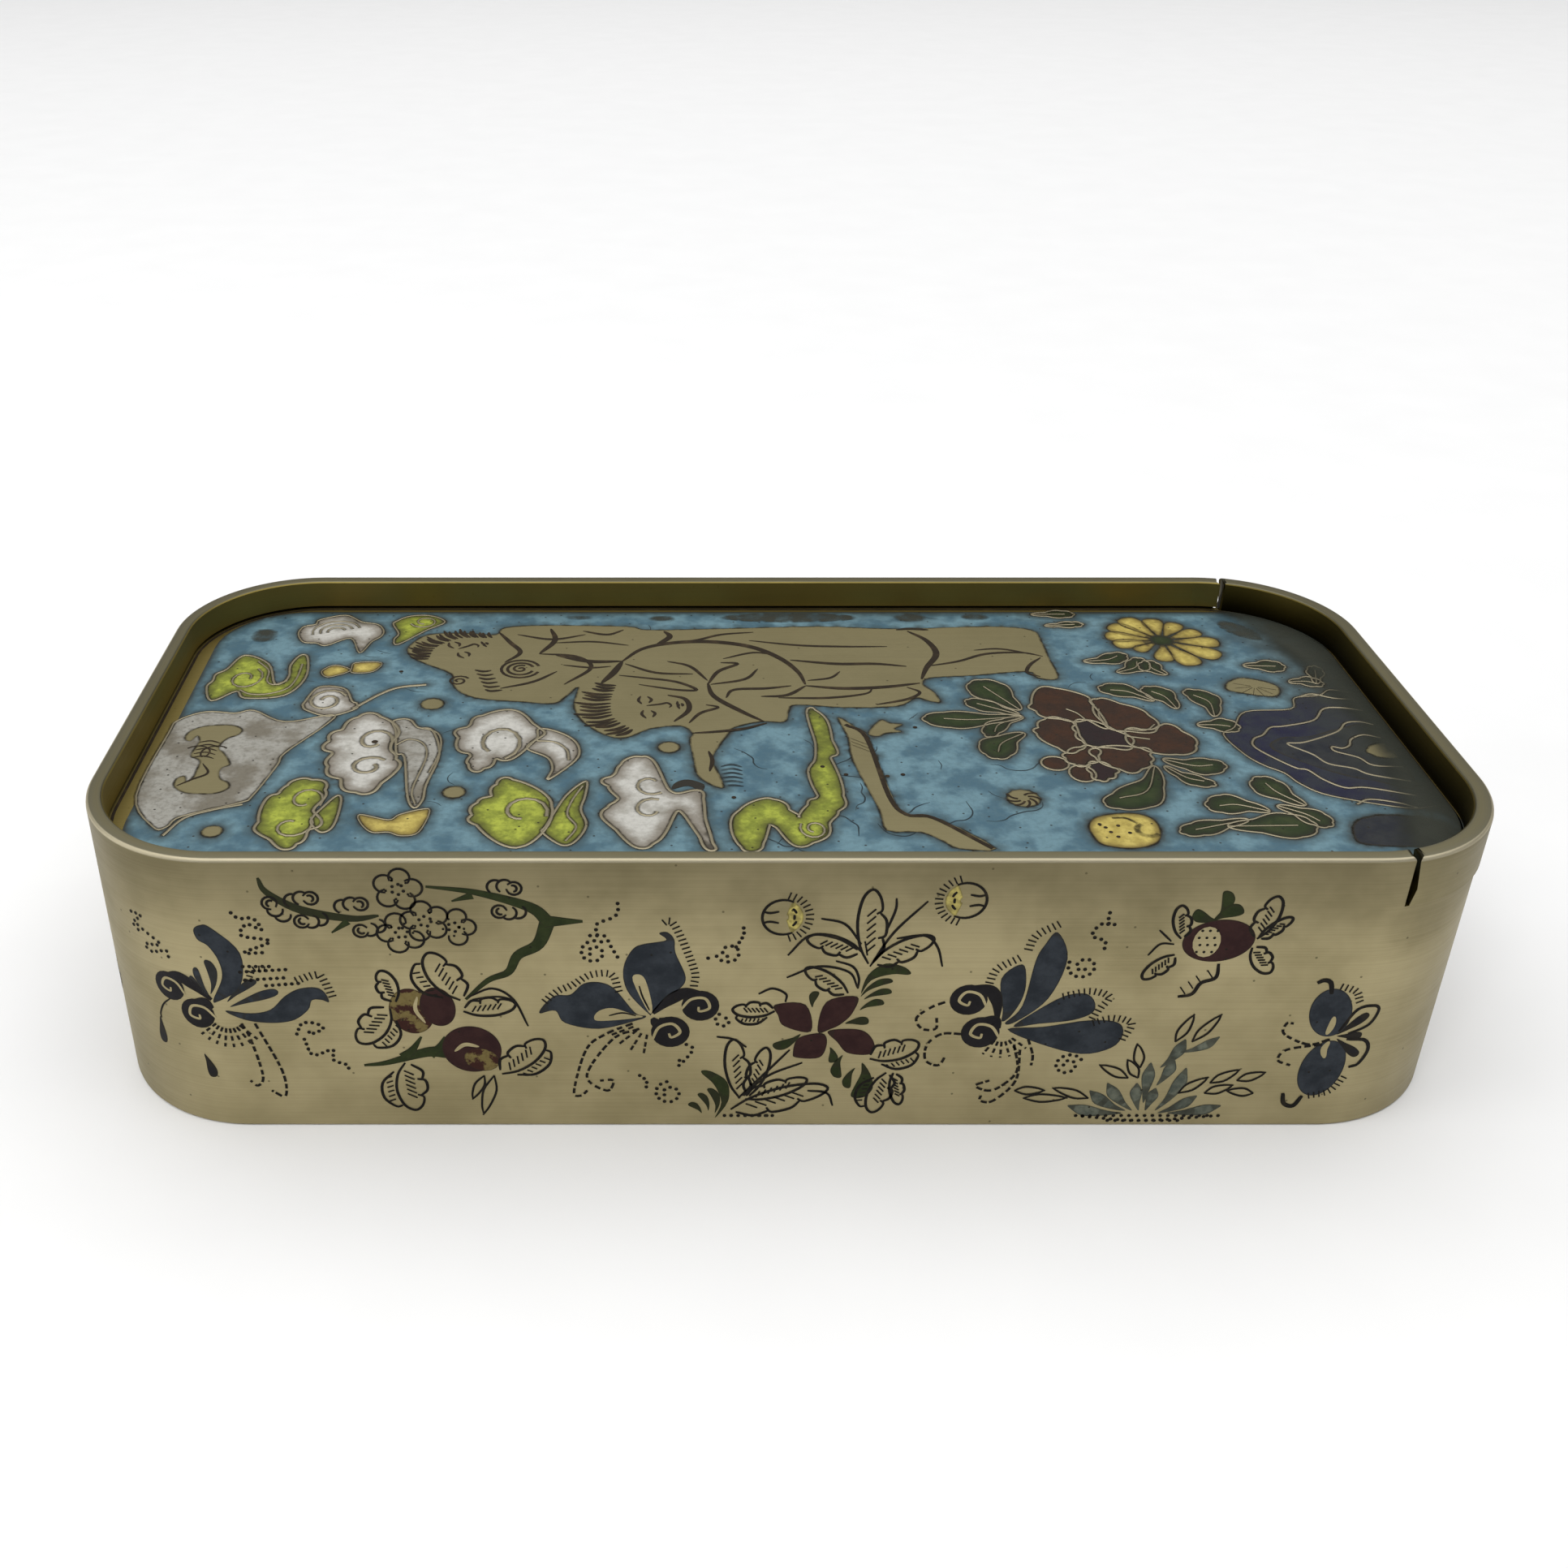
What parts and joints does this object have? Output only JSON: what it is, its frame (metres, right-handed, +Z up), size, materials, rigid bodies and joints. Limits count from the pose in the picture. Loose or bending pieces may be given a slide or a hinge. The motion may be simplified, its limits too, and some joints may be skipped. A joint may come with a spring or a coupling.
{
  "type": "champleve writing box",
  "caption": "Low brass writing box with rounded corners, engraved and enamelled sides, and an enamelled lid that slides out lengthways with the end of the rim.",
  "frame": {"origin": "middle of the underside, on the surface that the box stands on", "axes": "+Z up, +X to the right along the length, the way the lid slides open, -Y the engraved front"},
  "size_m": [0.2103, 0.098, 0.049],
  "materials": {
    "box_brass": "aged brass, brushed lengthways, the sides engraved and inlaid with enamel",
    "lid_brass": "aged brass, its face cut out in cells that are filled flush with enamel"
  },
  "bodies": {
    "box": {"box_body": "box_brass"},
    "lid": {"sliding_lid": "lid_brass"}
  },
  "joints": [
    {"name": "lid_slide", "type": "slide", "parent": "box", "child": "lid", "axis": [1, 0, 0], "range_m": [0, 0.18]}
  ]
}
